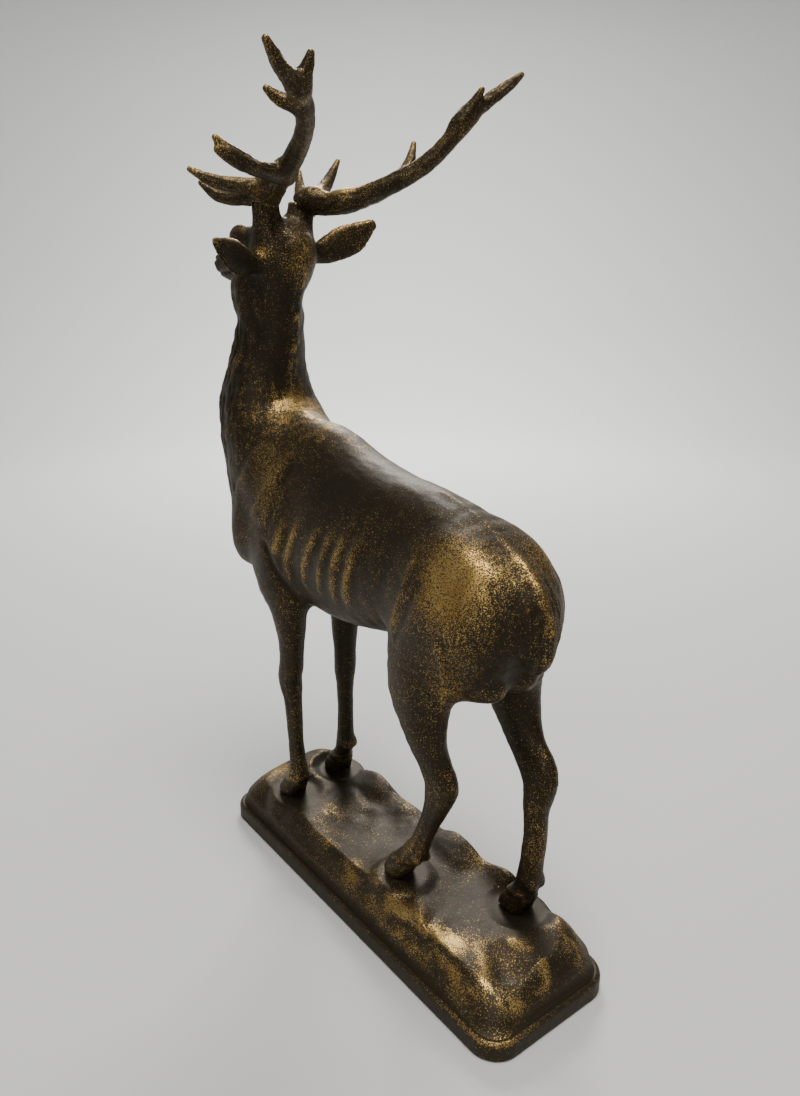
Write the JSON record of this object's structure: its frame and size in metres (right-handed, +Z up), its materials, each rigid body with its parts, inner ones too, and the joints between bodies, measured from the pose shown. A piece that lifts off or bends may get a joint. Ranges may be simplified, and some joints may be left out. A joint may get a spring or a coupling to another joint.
{
  "type": "stag figurine",
  "caption": "Cast metal stag standing on a long rocky base with a moulded plinth foot, head raised and turned a little, with branched antlers.",
  "frame": {"origin": "centre of the flat underside of the base", "axes": "+X is the way the stag faces, +Y is its left, +Z is up"},
  "size_m": [0.2785, 0.1556, 0.4205],
  "materials": {
    "base_patina": "dark bronze patina with gold rubbed over the high spots, satin",
    "stag_patina": "dark bronze patina with gold rubbed over the high spots, satin",
    "antler_patina": "dark bronze patina with gold rubbed over the high spots, satin"
  },
  "bodies": {
    "root": {"base": "base_patina", "stag": "stag_patina", "left_antler": "antler_patina", "right_antler": "antler_patina"}
  },
  "joints": []
}
